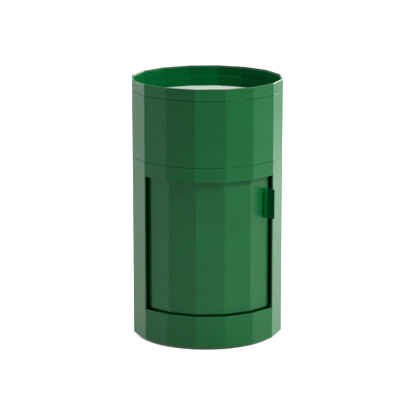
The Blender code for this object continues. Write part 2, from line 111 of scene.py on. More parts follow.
def add(tree, kind, feeds=None, **settings):
    """A node in a tree. Its feeds are sockets to link or values to set, by input name or number."""
    node = tree.nodes.new(kind)
    for key, value in settings.items():
        setattr(node, key, value)
    for key, feed in (feeds or {}).items():
        if isinstance(feed, bpy.types.NodeSocket):
            tree.links.new(feed, node.inputs[key])
        else:
            node.inputs[key].default_value = feed
    return node


def reckon(tree, operation, *values):
    """The result of a math node fed with these sockets or values."""
    return add(tree, "ShaderNodeMath", dict(enumerate(values)), operation=operation).outputs[0]


def geometry_tree(name, sizes):
    """An empty geometry tree with these named inputs, and its input sockets and output node."""
    tree = bpy.data.node_groups.new(name, "GeometryNodeTree")
    tree.interface.new_socket("Geometry", in_out="OUTPUT", socket_type="NodeSocketGeometry")
    for label, kind in (("Geometry", "Geometry"), *sizes):
        tree.interface.new_socket(label, in_out="INPUT", socket_type="NodeSocket" + kind)
    return tree, tree.nodes.new("NodeGroupInput").outputs, tree.nodes.new("NodeGroupOutput")


def folded_sheet_tree():
    """Sweeps a section along a plan line with rounded folds, fills a floor and cuts a door opening."""
    tree, given, result = geometry_tree("folded_sheet", (
        ("Section", "Object"), ("Fold Radius", "Float"), ("Fold Steps", "Int"),
        ("Bend Radius", "Float"), ("Bend Steps", "Int"), ("Floor", "Bool"), ("Floor Height", "Float"),
        ("Opening Angle", "Float"), ("Sill", "Float"), ("Lintel", "Float"), ("Finish", "Material")))
    plan = add(tree, "GeometryNodeMeshToCurve", {"Mesh": given["Geometry"]})
    folds = add(tree, "GeometryNodeFilletCurve", {
        "Curve": plan.outputs[0], "Count": given["Fold Steps"], "Radius": given["Fold Radius"],
        "Limit Radius": True}, mode="POLY")
    upright = add(tree, "GeometryNodeSetCurveNormal", {"Curve": folds.outputs[0]}, mode="Z_UP")
    guide = add(tree, "GeometryNodeObjectInfo", {"Object": given["Section"]})
    line = add(tree, "GeometryNodeMeshToCurve", {"Mesh": guide.outputs["Geometry"]})
    bends = add(tree, "GeometryNodeFilletCurve", {
        "Curve": line.outputs[0], "Count": given["Bend Steps"], "Radius": given["Bend Radius"],
        "Limit Radius": True}, mode="POLY")
    wall = add(tree, "GeometryNodeCurveToMesh", {
        "Curve": upright.outputs[0], "Profile Curve": bends.outputs[0]})
    plate = add(tree, "GeometryNodeFillCurve", {"Curve": folds.outputs[0]}, mode="NGONS")
    lift = add(tree, "ShaderNodeCombineXYZ", {"Z": given["Floor Height"]})
    raised = add(tree, "GeometryNodeTransform", {
        "Geometry": plate.outputs[0], "Translation": lift.outputs[0]})
    chosen = add(tree, "GeometryNodeSwitch", {"Switch": given["Floor"], "True": raised.outputs[0]},
                 input_type="GEOMETRY")
    joined = add(tree, "GeometryNodeJoinGeometry", {"Geometry": chosen.outputs[0]})
    tree.links.new(wall.outputs[0], joined.inputs[0])
    welded = add(tree, "GeometryNodeMergeByDistance", {"Geometry": joined.outputs[0], "Distance": MERGE})
    place = add(tree, "GeometryNodeInputPosition").outputs[0]
    spot = add(tree, "ShaderNodeSeparateXYZ", {"Vector": place}).outputs
    ahead = reckon(tree, "MULTIPLY", spot["Y"], -1.0)
    aside = reckon(tree, "ABSOLUTE", reckon(tree, "ARCTAN2", spot["X"], ahead))
    between = reckon(tree, "LESS_THAN", aside, given["Opening Angle"])
    above = reckon(tree, "GREATER_THAN", spot["Z"], given["Sill"])
    below = reckon(tree, "LESS_THAN", spot["Z"], given["Lintel"])
    hole = reckon(tree, "MULTIPLY", reckon(tree, "MULTIPLY", above, below), between)
    cut = add(tree, "GeometryNodeDeleteGeometry", {"Geometry": welded.outputs[0], "Selection": hole},
              domain="FACE")
    smooth = add(tree, "GeometryNodeSetShadeSmooth", {"Geometry": cut.outputs[0]})
    whole = add(tree, "GeometryNodeRealizeInstances", {"Geometry": smooth.outputs[0]})
    coated = add(tree, "GeometryNodeSetMaterial", {"Geometry": whole.outputs[0], "Material": given["Finish"]})
    tree.links.new(coated.outputs[0], result.inputs[0])
    return tree


folded_sheet = folded_sheet_tree()


def shown(name, mesh):
    """A new object of this mesh in the scene."""
    made = bpy.data.objects.new(name, mesh)
    bpy.context.scene.collection.objects.link(made)
    return made


def plain(made):
    """Turns an object's evaluated shape into its own plain mesh, with its edges marked for wear and for a
    painted highlight.
    """
    bpy.context.view_layer.update()
    evaluated = made.evaluated_get(bpy.context.evaluated_depsgraph_get())
    mesh = bpy.data.meshes.new_from_object(evaluated)
    mesh.name = made.name
    made.modifiers.clear()
    made.data = mesh
    edit = bmesh.new()
    edit.from_mesh(mesh)
    worn_and_highlit = []
    for point in edit.verts:
        bends = [edge.calc_face_angle(0.0) for edge in point.link_edges]
        worn_and_highlit.append(min(1.0, max(0.0, max(bends) - WEAR_AND_HIGHLIGHT_START) / WEAR_AND_HIGHLIGHT_SPAN))
    edit.free()
    mesh.attributes.new("wear", "FLOAT", "POINT").data.foreach_set("value", worn_and_highlit)
    return made


def ease_edges(made, width, steps=2):
    """Rounds an object's sharp edges and keeps its flats flat to the eye."""
    bevel = made.modifiers.new("ease", "BEVEL")
    bevel.limit_method = "ANGLE"
    bevel.angle_limit = EASE_LIMIT
    bevel.width = width
    bevel.segments = steps
    bevel.use_clamp_overlap = False
    made.modifiers.new("flatten", "WEIGHTED_NORMAL").keep_sharp = True
    return plain(made)


def run_tree(made, tree, sizes):
    """Hangs a geometry tree on an object and sets its inputs by their identifiers."""
    modifier = made.modifiers.new(tree.name, "NODES")
    modifier.node_group = tree
    for socket in tree.interface.items_tree:
        if socket.in_out == "INPUT" and socket.name in sizes:
            modifier[socket.identifier] = sizes[socket.name]


def thicken(made, sheet):
    """Gives a drawn face the sheet's thickness behind it."""
    solid = made.modifiers.new("thicken", "SOLIDIFY")
    solid.thickness = sheet
    solid.offset = -1.0
    solid.use_even_offset = True


def fold_up(name, plan, section, sheet, finish, fold=FOLD_RADIUS, bend=HEM_ROUND, closed=True, floor=None,
            opening=(0.0, 0.0, 0.0)):
    """A folded sheet: a section of (outward, height) points swept along a plan line and thickened behind."""
    guide = shown("section", polyline("section", [(x, -z, 0.0) for x, z in section], False))
    made = shown(name, polyline(name, plan, closed))
    run_tree(made, folded_sheet, {
        "Section": guide, "Fold Radius": fold, "Fold Steps": FOLD_STEPS, "Bend Radius": bend,
        "Bend Steps": BEND_STEPS, "Floor": floor is not None, "Floor Height": floor or 0.0,
        "Opening Angle": opening[0], "Sill": opening[1], "Lintel": opening[2], "Finish": finish})
    thicken(made, sheet)
    ease_edges(made, EDGE_ROUND)
    bpy.data.objects.remove(guide, do_unlink=True)
    return made


def spread(tree, source, low, high, start=0.3, end=0.7):
    """A source's range, a noise's middle unless given, carried over to the values from low to high."""
    return add(tree, "ShaderNodeMapRange", {
        "Value": source, "From Min": start, "From Max": end, "To Min": low, "To Max": high}).outputs[0]


def mixed(tree, share, first, second):
    """Two colours mixed by a share, as values or sockets."""
    feeds = {0: share, 6: first, 7: second}
    for key in (6, 7):
        if not isinstance(feeds[key], bpy.types.NodeSocket):
            feeds[key] = (*feeds[key], 1.0)
    return add(tree, "ShaderNodeMix", feeds, data_type="RGBA").outputs[2]


def material(name):
    """A new node material, with its tree, its shader and its Object coordinates."""
    made = bpy.data.materials.new(name)
    made.use_nodes = True
    tree = made.node_tree
    return made, tree, tree.nodes["Principled BSDF"], add(tree, "ShaderNodeTexCoord").outputs["Object"]


def noise(tree, place, scale, detail, distortion=0.0):
    """A noise over these coordinates."""
    return add(tree, "ShaderNodeTexNoise", {
        "Vector": place, "Scale": scale, "Detail": detail, "Distortion": distortion}).outputs[0]


def raise_skin(tree, shader, height, strength, distance):
    """Gives a finish a fine relief."""
    relief = add(tree, "ShaderNodeBump", {"Strength": strength, "Distance": distance, "Height": height})
    tree.links.new(relief.outputs[0], shader.inputs["Normal"])


def powder_coat(name, gloss, smooth, rough, tone=1.0):
    """Green powder coat: faint mottling, an orange-peel skin, and a lighter, thinner film on the edges, which
    is also a painted highlight.
    """
    coat, tree, shader, place = material(name)
    # A tone above one paints the coat lighter as light, and a tone below one paints it darker as shade.
    deep, full, thin_and_highlight = [[part * tone for part in colour] for colour in (GREEN_DEEP, GREEN, GREEN_THIN_AND_HIGHLIGHT)]
    mottle = noise(tree, place, scale=14.0, detail=4.0)
    grain = noise(tree, place, scale=1900.0, detail=1.0)
    peel = noise(tree, place, scale=520.0, detail=2.0)
    wear = add(tree, "ShaderNodeAttribute", attribute_name="wear").outputs["Fac"]
    cloudy = mixed(tree, spread(tree, mottle, 0.0, 1.0), deep, full)
    grainy = mixed(tree, spread(tree, grain, 0.0, 0.12), cloudy, thin_and_highlight)
    # Edges get the thin green: a thinner film of coat, and a painted highlight along them.
    rubbed_and_highlit = reckon(tree, "MULTIPLY", wear, spread(tree, mottle, 0.2, 0.7))
    tree.links.new(mixed(tree, rubbed_and_highlit, grainy, thin_and_highlight), shader.inputs["Base Color"])
    tree.links.new(spread(tree, mottle, smooth, rough), shader.inputs["Roughness"])
    raise_skin(tree, shader, peel, strength=0.10, distance=0.0004)
    shader.inputs["Specular IOR Level"].default_value = gloss
    return coat


green_coat = powder_coat("green_powder_coat", GLOSS, COAT_SMOOTH, COAT_ROUGH)
shell_low, shell_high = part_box("lower_shell")
shell_apothem = shell_high.x
frame_low, frame_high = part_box("opening_frame")
sill = frame_low.z + FRAME_LAP
lintel = frame_high.z - FRAME_LAP
opening_turn = DOOR_FLATS * HALF_FLAT
lower_shell = fold_up("lower_shell_sheet", ring(shell_apothem), [
    (0.0, shell_high.z), (0.0, lintel), (0.0, sill), (0.0, shell_low.z), (-HEM_WIDTH, shell_low.z),
    (-HEM_WIDTH, shell_low.z + HEM_RETURN)], SHELL_SHEET, green_coat, opening=(opening_turn, sill, lintel))


def seat(piece, body, slot, *nodes):
    """The piece rides on a body in place of these nodes. Its slot is not used."""
    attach(piece, body)
    if nodes:
        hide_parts(*nodes)


seat(lower_shell, "drum", "green_coat", "lower_shell")

# Opening frame
# A strip of thicker steel spot-welded behind the edges of the opening, which stiffens the cut sheet
# and gives the jambs, the sill and the lintel their depth. It is coated with the shell.
FRAME_DEPTH = 0.0030
FRAME_GAP = 0.0003
JAMB_FLAT = DOOR_LAST + 1
frame_apothem = shell_apothem - SHELL_SHEET - FRAME_GAP
frame_turn = FRAME_LAP * math.cos(HALF_FLAT) / shell_apothem + opening_turn
frame_end = frame_apothem * math.tan(frame_turn - 2 * JAMB_FLAT * HALF_FLAT)


def flat_run(apothem, last, end):
    """Plan points of a sheet over the front flats, the same to both sides, up to an end on the last flat."""
    points = [flat_point(apothem, -last, -end)]
    for flat in range(-last, last):
        points.append(flat_point(apothem, flat, half_width(apothem)))
    points.append(flat_point(apothem, last, end))
    return points


opening_frame = fold_up("opening_frame_strip", flat_run(frame_apothem, JAMB_FLAT, frame_end), [
    (0.0, frame_high.z), (0.0, lintel), (0.0, sill), (0.0, frame_low.z)], FRAME_DEPTH, green_coat,
    closed=False, opening=(opening_turn, sill, lintel))
seat(opening_frame, "drum", "green_coat", "opening_frame")

# Upper shell
# The wall of the top bin, folded like the body and joined to it at a butted seam. A rolled hem round
# its mouth carries the lid.
SEAM_ROUND = 0.0005
upper_low, upper_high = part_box("upper_shell")


def hemmed_wall(low, high):
    """Section of a wall whose top edge is rolled inwards."""
    return [(-HEM_WIDTH, high - HEM_RETURN), (-HEM_WIDTH, high), (0.0, high), (0.0, low)]


upper_shell = fold_up("upper_shell_sheet", ring(shell_apothem), hemmed_wall(upper_low.z, upper_high.z),
                      SHELL_SHEET, green_coat, bend=SEAM_ROUND)
seat(upper_shell, "drum", "green_coat", "upper_shell")

# Joining collar
# A band behind the seam between the two shells, spot-welded to both and coated with them. The packed
# solid has its shape already, so it only gets its finish.


def refinish(finish, *nodes):
    """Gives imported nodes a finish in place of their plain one."""
    for node in nodes:
        for coat in frame["nodes"][node].material_slots:
            coat.material = finish


refinish(green_coat, "joining_collar")

# Decks and shelf
# Flat steel sheets with their edges folded down, powder coated. The base deck carries the castors, and the
# mid deck parts the bin from the compartment. Their rims are spot-welded to the shell and to the collar,
# and the smaller shelf stands on posts, clear of the door.
DECK_SHEET = 0.0020
SHELF_SHEET = 0.0012
DECK_ROUND = 0.0030
DECK_LIP = 0.0060


def folded_deck(name, node, sheet):
    """A deck with a rim folded down all round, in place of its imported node."""
    low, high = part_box(node)
    rim = [(0.0, high.z), (DECK_LIP, high.z), (DECK_LIP, low.z)]
    deck = fold_up(name, ring(high.x - DECK_LIP), rim, sheet, green_coat, bend=DECK_ROUND, floor=high.z)
    seat(deck, "drum", "green_coat", node)


folded_deck("base_deck_pan", "base_deck", DECK_SHEET)
folded_deck("mid_deck_pan", "mid_deck", DECK_SHEET)
folded_deck("shelf_pan", "shelf", SHELF_SHEET)

# Shelf posts
# Six turned steel rods with a collar at each end: three carry the shelf on the base deck, and three
# tie it to the mid deck above. They are zinc plated.
COLLAR_RADIUS = 0.0070
COLLAR_HEIGHT = 0.0040
COLLAR_ROUND = 0.0006
POST_STEPS = 48
EDGE_STEPS = 3
SMOOTH_LIMIT = math.radians(35.0)
ZINC = (0.50, 0.515, 0.53)
ZINC_WARM = (0.60, 0.59, 0.56)


def zinc_plate(name):
    """Bright zinc over rolled steel: long rolling lines, cloudy spangle and a dull, uneven shine."""
    plated, tree, shader, place = material(name)
    lines = add(tree, "ShaderNodeMapping", {"Vector": place, "Scale": (60.0, 60.0, 1500.0)}).outputs[0]
    rolled = noise(tree, lines, scale=1.0, detail=3.0)
    spangle = add(tree, "ShaderNodeTexVoronoi", {"Vector": place, "Scale": 160.0}).outputs["Color"]
    tone = add(tree, "ShaderNodeRGBToBW", {"Color": spangle}).outputs[0]
    cloud = noise(tree, place, scale=30.0, detail=3.0)
    blend = spread(tree, reckon(tree, "MULTIPLY", tone, cloud), 0.0, 1.0, 0.1, 0.5)
    tree.links.new(mixed(tree, blend, ZINC, ZINC_WARM), shader.inputs["Base Color"])
    tree.links.new(spread(tree, rolled, 0.34, 0.52), shader.inputs["Roughness"])
    raise_skin(tree, shader, rolled, strength=0.08, distance=0.0002)
    shader.inputs["Metallic"].default_value = 1.0
    return plated


def rounded_line(points, radius, steps):
    """A plane line with an arc in place of each inner corner."""
    line = [Vector(points[0])]
    for before, here, after in zip(points, points[1:], points[2:]):
        back = (Vector(before) - Vector(here)).normalized()
        ahead = (Vector(after) - Vector(here)).normalized()
        half = back.angle(ahead) / 2
        centre = Vector(here) + (back + ahead).normalized() * radius / math.sin(half)
        first = back * radius / math.tan(half) + Vector(here) - centre
        last = ahead * radius / math.tan(half) + Vector(here) - centre
        for step in range(steps + 1):
            line.append(centre + radius * first.normalized().slerp(last.normalized(), step / steps))
    line.append(Vector(points[-1]))
    return line


def as_mesh(name, edit):
    """An edited shape as a new mesh."""
    mesh = bpy.data.meshes.new(name)
    edit.to_mesh(mesh)
    edit.free()
    return mesh


def turned(outline, steps, place=Matrix()):
    """A mesh of (radius, height) points turned about Z, then carried to its place."""
    edit = bmesh.new()
    line = [edit.verts.new((radius, 0.0, height)) for radius, height in outline]
    edges = [edit.edges.new(pair) for pair in zip(line, line[1:])]
    bmesh.ops.spin(edit, geom=line + edges, cent=(0.0, 0.0, 0.0), axis=(0.0, 0.0, 1.0), angle=2 * math.pi,
                   steps=steps, use_merge=True)
    bmesh.ops.remove_doubles(edit, verts=edit.verts, dist=MERGE)
    bmesh.ops.recalc_face_normals(edit, faces=edit.faces)
    edit.transform(place)
    return as_mesh("turned", edit)


def gathered(name, finish, *meshes):
    """One object of several meshes, shaded smooth up to its edges."""
    edit = bmesh.new()
    for mesh in meshes:
        edit.from_mesh(mesh)
    whole = as_mesh(name, edit)
    whole.materials.append(finish)
    whole.shade_smooth()
    whole.set_sharp_from_angle(angle=SMOOTH_LIMIT)
    return plain(shown(name, whole))


def collared_rod(node):
    """A packed post's rod with a collar at each end."""
    low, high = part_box(node)
    radius = (high.x - low.x) / 2
    length = high.z - low.z
    line = rounded_line([
        (0.0, 0.0), (COLLAR_RADIUS, 0.0), (COLLAR_RADIUS, COLLAR_HEIGHT), (radius, COLLAR_HEIGHT),
        (radius, length - COLLAR_HEIGHT), (COLLAR_RADIUS, length - COLLAR_HEIGHT), (COLLAR_RADIUS, length),
        (0.0, length)], COLLAR_ROUND, EDGE_STEPS)
    return turned(line, POST_STEPS, Matrix.Translation(((low.x + high.x) / 2, (low.y + high.y) / 2, low.z)))


zinc_steel = zinc_plate("zinc_plated_steel")
for tier in ("lower", "upper"):
    for number in (1, 2, 3):
        post = f"{tier}_post_{number}"
        seat(gathered(f"{post}_rod", zinc_steel, collared_rod(post)), "drum", "zinc_steel", post)

# Guide rings
# Two round channels rolled from zinc-plated strip, one standing on the base deck and one hung from the
# mid deck. The door's glides run in them, and a rubber block in the lower one stops the door at each end.
TRACK_SHEET = 0.0015
TRACK_WIDTH = 0.0090
TRACK_ROUND = 0.0004
TRACK_STEPS = 192
STOP_ROUND = 0.0008
FLAT_LIMIT = 0.01
RUBBER = (0.020, 0.020, 0.021)
RUBBER_DUSTY = (0.042, 0.042, 0.040)


def rubber(name):
    """Moulded black rubber: matt, with a pebbled skin and a little dust."""
    moulded, tree, shader, place = material(name)
    dust = noise(tree, place, scale=90.0, detail=4.0)
    pebble = add(tree, "ShaderNodeTexVoronoi", {"Vector": place, "Scale": 1400.0}).outputs["Distance"]
    dusty = mixed(tree, spread(tree, dust, 0.0, 1.0), RUBBER, RUBBER_DUSTY)
    tree.links.new(dusty, shader.inputs["Base Color"])
    tree.links.new(spread(tree, dust, 0.68, 0.86), shader.inputs["Roughness"])
    raise_skin(tree, shader, pebble, strength=0.2, distance=0.0003)
    return moulded


def channel_ring(node, opens_up):
    """A packed guide ring's channel, finer round and with eased edges."""
    low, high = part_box(node)
    outer = high.x
    inner = outer - TRACK_WIDTH
    shut, rim = (low.z, high.z) if opens_up else (high.z, low.z)
    web = shut + math.copysign(TRACK_SHEET, rim - shut)
    line = rounded_line([
        ((inner + outer) / 2, shut), (outer, shut), (outer, rim), (outer - TRACK_SHEET, rim),
        (outer - TRACK_SHEET, web), (inner + TRACK_SHEET, web), (inner + TRACK_SHEET, rim), (inner, rim),
        (inner, shut), ((inner + outer) / 2, shut)], TRACK_ROUND, EDGE_STEPS)
    return turned(line, TRACK_STEPS)


def rounded_copy(name, finish, width, node):
    """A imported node's shape, merged and with its edges rounded."""
    edit = bmesh.new()
    edit.from_mesh(frame["nodes"][node].data)
    bmesh.ops.remove_doubles(edit, verts=edit.verts, dist=MERGE)
    bmesh.ops.dissolve_limit(edit, angle_limit=FLAT_LIMIT, verts=edit.verts, edges=edit.edges)
    mesh = as_mesh(name, edit)
    mesh.materials.append(finish)
    mesh.shade_smooth()
    return ease_edges(shown(name, mesh), width, EDGE_STEPS)


black_rubber = rubber("black_rubber_moulding")
for track, opens_up in (("lower_guide_ring", True), ("upper_guide_ring", False)):
    seat(gathered(f"{track}_channel", zinc_steel, channel_ring(track, opens_up)), "drum", "zinc_steel", track)
for stop in ("closed_stop", "open_stop"):
    seat(rounded_copy(f"{stop}_block", black_rubber, STOP_ROUND, stop), "drum", "black_rubber", stop)

# Lid ring
# The band above the upper seam, folded and hemmed like the bin's wall. The tray is welded inside it,
# and the two lift off together.
ring_low, ring_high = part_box("lid_ring")
lid_ring = fold_up("lid_ring_band", ring(shell_apothem), hemmed_wall(ring_low.z, ring_high.z), SHELL_SHEET,
                   green_coat)
seat(lid_ring, "lid", "green_coat", "lid_ring")

# Tray
# A deep pan pressed from thinner sheet. A ledge in its wall rests on the bin's hem, and below the ledge the
# pan drops into the bin, which keeps the lid in place. Its coat is duller, and its green is painted darker as
# shade inside the tray.
DULL_GLOSS = 0.0
DULL_SMOOTH = 0.50
DULL_ROUGH = 0.60
TRAY_SHADE_TONE = 0.70
PAN_SHEET = 0.0012
PAN_ROUND = 0.0024
PAN_LIP = 0.0060
LEDGE_RISE = 0.0034
LEDGE_SEAT = 0.0003
SPIGOT_GAP = 0.0020
pan_low, pan_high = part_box("lid_pan")
spigot_wall = shell_apothem - HEM_WIDTH - SPIGOT_GAP - PAN_SHEET
upper_wall = pan_high.x - PAN_SHEET
ledge = upper_high.z + LEDGE_SEAT + LEDGE_RISE
tray_floor = pan_low.z + PAN_SHEET
pan_plan = spigot_wall - PAN_LIP
# The tray's green is painted darker by its tone, as shade inside the tray.
shaded_dull_coat = powder_coat("dull_green_powder_coat", DULL_GLOSS, DULL_SMOOTH, DULL_ROUGH, TRAY_SHADE_TONE)
tray = fold_up("tray_pan", ring(pan_plan), [
    (0.0, tray_floor), (PAN_LIP, tray_floor), (PAN_LIP, ledge), (upper_wall - pan_plan, ledge),
    (upper_wall - pan_plan, pan_high.z)], PAN_SHEET, shaded_dull_coat, bend=PAN_ROUND, floor=tray_floor)
seat(tray, "lid", "green_coat", "lid_pan")

# Tray mat
# A pale sheet of soft rubber with a fine speckle, cut to the tray's sixteen-sided floor. It is laid in
# the tray loose, and its cut edge is eased.
MAT_PALE = (0.84, 0.90, 0.85)
MAT_SHADE = (0.75, 0.83, 0.76)
MAT_ROUND = 0.0006


def speckled_mat(name):
    """Pale rubber sheet: a fine two-tone speckle, faint scuffs and a matt, grained skin."""
    sheet, tree, shader, place = material(name)
    speck = noise(tree, place, scale=900.0, detail=2.0)
    scuff = noise(tree, place, scale=22.0, detail=5.0)
    fine = mixed(tree, spread(tree, speck, 0.0, 1.0, 0.35, 0.65), MAT_SHADE, MAT_PALE)
    tree.links.new(mixed(tree, spread(tree, scuff, 0.0, 0.35), fine, MAT_PALE), shader.inputs["Base Color"])
    tree.links.new(spread(tree, scuff, 0.6, 0.8), shader.inputs["Roughness"])
    raise_skin(tree, shader, speck, strength=0.25, distance=0.0002)
    return sheet


def slab(name, finish, points, low, high):
    """A flat piece with this plan outline, from low to high."""
    edit = bmesh.new()
    base = edit.faces.new([edit.verts.new((x, y, low)) for x, y, _ in points])
    raised = bmesh.ops.extrude_face_region(edit, geom=[base])["geom"]
    top = [item for item in raised if isinstance(item, bmesh.types.BMVert)]
    bmesh.ops.translate(edit, verts=top, vec=(0.0, 0.0, high - low))
    bmesh.ops.recalc_face_normals(edit, faces=edit.faces)
    mesh = as_mesh(name, edit)
    mesh.materials.append(finish)
    mesh.shade_smooth()
    return shown(name, mesh)


mat_low, mat_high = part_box("tray_mat")
pale_mat = speckled_mat("pale_mat_sheet")
tray_mat = slab("tray_mat_sheet", pale_mat, ring(mat_high.x), mat_low.z, mat_high.z)
ease_edges(tray_mat, MAT_ROUND, EDGE_STEPS)
seat(tray_mat, "lid", "pale_mat", "tray_mat")

# Door skin
# The leaf that shows: thin sheet folded over five flats, with a flange along each side that laps behind
# the jamb. It turns about the drum's axis and slides behind the left jamb.
DOOR_SHEET = 0.0012
DOOR_FOLD = 0.0022
DOOR_TRIM = 0.0108
DOOR_FLANGE = 0.0200
DOOR_GLOSS = 0.24
skin_low, skin_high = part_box("door_skin")
skin_apothem = -skin_low.y
skin_end = half_width(skin_apothem) - DOOR_TRIM
flange_apothem = skin_apothem * math.cos(2 * HALF_FLAT) + skin_end * math.sin(2 * HALF_FLAT)
flange_end = skin_end * math.cos(2 * HALF_FLAT) - skin_apothem * math.sin(2 * HALF_FLAT) + DOOR_FLANGE
skin_plan = flat_run(skin_apothem, DOOR_LAST, skin_end)
skin_plan.insert(0, flat_point(flange_apothem, -JAMB_FLAT, -flange_end))
skin_plan.append(flat_point(flange_apothem, JAMB_FLAT, flange_end))
door_coat = powder_coat("door_green_powder_coat", DOOR_GLOSS, COAT_SMOOTH, COAT_ROUGH)
door_skin = fold_up("door_skin_sheet", skin_plan, [(0.0, skin_high.z), (0.0, skin_low.z)], DOOR_SHEET,
                    door_coat, fold=DOOR_FOLD, closed=False)
seat(door_skin, "door", "green_coat", "door_skin")

# Door carrier
# The sheet behind the skin, taller than the leaf and joined to it by a channel at its top and bottom. The
# glides are fixed to its back.
carrier_low, carrier_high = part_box("door_carrier")
carrier_apothem = -carrier_low.y
carrier_end = skin_end - DOOR_SHEET * math.tan(HALF_FLAT)
door_carrier = fold_up("door_carrier_sheet", flat_run(carrier_apothem, DOOR_LAST, carrier_end),
                       [(0.0, carrier_high.z), (0.0, carrier_low.z)], DOOR_SHEET, green_coat, fold=DOOR_FOLD,
                       closed=False)
seat(door_carrier, "door", "green_coat", "door_carrier")
refinish(zinc_steel, "door_bottom_channel", "door_top_channel")

# Glides
# Six moulded nylon blocks on the carrier's back. Each has a foot that runs in its guide ring, and rounded
# ends that let it start and stop without a catch.
GLIDE_ROUND = 0.0008
NYLON = (0.76, 0.76, 0.72)
NYLON_WARM = (0.68, 0.67, 0.60)


def nylon(name, colour, shaded):
    """Moulded nylon: slightly cloudy, with faint flow lines and a satin skin."""
    moulded, tree, shader, place = material(name)
    cloud = noise(tree, place, scale=120.0, detail=3.0)
    flow = noise(tree, place, scale=700.0, detail=2.0, distortion=1.5)
    tree.links.new(mixed(tree, spread(tree, cloud, 0.0, 1.0), colour, shaded), shader.inputs["Base Color"])
    tree.links.new(spread(tree, cloud, 0.42, 0.56), shader.inputs["Roughness"])
    raise_skin(tree, shader, flow, strength=0.1, distance=0.0002)
    shader.inputs["Subsurface Weight"].default_value = 0.05
    shader.inputs["Subsurface Radius"].default_value = (0.002, 0.002, 0.002)
    return moulded


white_nylon = nylon("white_nylon_moulding", NYLON, NYLON_WARM)
for tier in ("lower", "upper"):
    for number in (1, 2, 3):
        glide = f"{tier}_glide_{number}"
        seat(rounded_copy(f"{glide}_block", white_nylon, GLIDE_ROUND, glide), "door", "white_nylon", glide)

# Pull tab
# A strip of thicker sheet with a foot riveted to the door's last flat, a leg that stands square off it and a
# lip that leans outwards for the fingers. Its coat is as dull as the tray's but painted lighter, as light on
# the leg, and the lip is painted dark green, as shade.
TAB_SHEET = 0.0025
TAB_FLAT = DOOR_LAST
TAB_ALONG = 0.0134
TAB_FOOT = 0.0125
TAB_REACH = 0.0140
TAB_LIP = 0.0190
TAB_LEAN = math.radians(20.0)
TAB_CORNER = 0.0030
TAB_BEND = 0.0028
TAB_STEPS = 8
TAB_PITCH = 0.0004
TAB_ROUND = 0.0005
TAB_SEAT = 0.0003
LIP_SHADE_EDGE = 0.0008
# The tab's tone paints its coat lighter, as light on the leg, and the lip's green is a painted shade.
TAB_LIGHT_TONE = 2.0
LIP_SHADE_GREEN = (0.001, 0.092, 0.021)
tab_low, tab_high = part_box("pull_tab")


def lit_and_shaded_tab_coat(name):
    """A dull coat painted lighter as light on the tab, with a painted shade of dark green over what stands
    further off the door than the tab's leg.
    """
    coat = powder_coat(name, DULL_GLOSS, DULL_SMOOTH, DULL_ROUGH, TAB_LIGHT_TONE)
    tree = coat.node_tree
    shader = tree.nodes["Principled BSDF"]
    lit_colour = shader.inputs["Base Color"].links[0].from_socket
    place = add(tree, "ShaderNodeTexCoord").outputs["Object"]
    stand = add(tree, "ShaderNodeVectorMath", {0: place, 1: flat_point(1.0, TAB_FLAT, 0.0)},
                operation="DOT_PRODUCT").outputs["Value"]
    line = skin_apothem + TAB_REACH
    lip_shade = spread(tree, stand, 0.0, 1.0, line - LIP_SHADE_EDGE, line + LIP_SHADE_EDGE)
    # The lip gets the painted shade.
    tree.links.new(mixed(tree, lip_shade, lit_colour, LIP_SHADE_GREEN), shader.inputs["Base Color"])
    return coat


def tab_strip():
    """The tab's left face as a strip of upright quads from foot to lip, narrowed at its rounded ends."""
    tip = (TAB_LIP * math.sin(TAB_LEAN), TAB_REACH + TAB_LIP * math.cos(TAB_LEAN))
    line = rounded_line([(TAB_FOOT, 0.0), (0.0, 0.0), (0.0, TAB_REACH), tip], TAB_BEND, TAB_STEPS)
    dense = []
    for start, end in zip(line, line[1:]):
        count = max(1, round((end - start).length / TAB_PITCH))
        dense += [start.lerp(end, step / count) for step in range(count)]
    dense.append(line[-1])
    along = [0.0]
    for start, end in zip(dense, dense[1:]):
        along.append(along[-1] + (end - start).length)
    edit = bmesh.new()
    columns = []
    for (side, out), run in zip(dense, along):
        shy = TAB_CORNER - min(run, along[-1] - run, TAB_CORNER)
        inset = TAB_CORNER - math.sqrt(TAB_CORNER ** 2 - shy ** 2)
        x, y, _ = flat_point(skin_apothem + TAB_SEAT + out, TAB_FLAT, TAB_ALONG + side)
        columns.append([edit.verts.new((x, y, z)) for z in (tab_low.z + inset, tab_high.z - inset)])
    for (a, b), (c, d) in zip(columns, columns[1:]):
        edit.faces.new((b, a, c, d))
    mesh = as_mesh("pull_tab_strip", edit)
    mesh.materials.append(tab_coat)
    mesh.shade_smooth()
    return mesh


tab_coat = lit_and_shaded_tab_coat("dipped_green_powder_coat")
pull_tab = shown("pull_tab_strip", tab_strip())
thicken(pull_tab, TAB_SHEET)
ease_edges(pull_tab, TAB_ROUND, EDGE_STEPS)
seat(pull_tab, "door", "green_coat", "pull_tab")

# Tab rivets
# Two zinc-plated rivets with domed heads, which hold the tab's foot to the door's skin. They are set as
# copies of one head.
RIVET_STEPS = 24
RIVET_HEAD = 0.0012
DOME_STEPS = 6


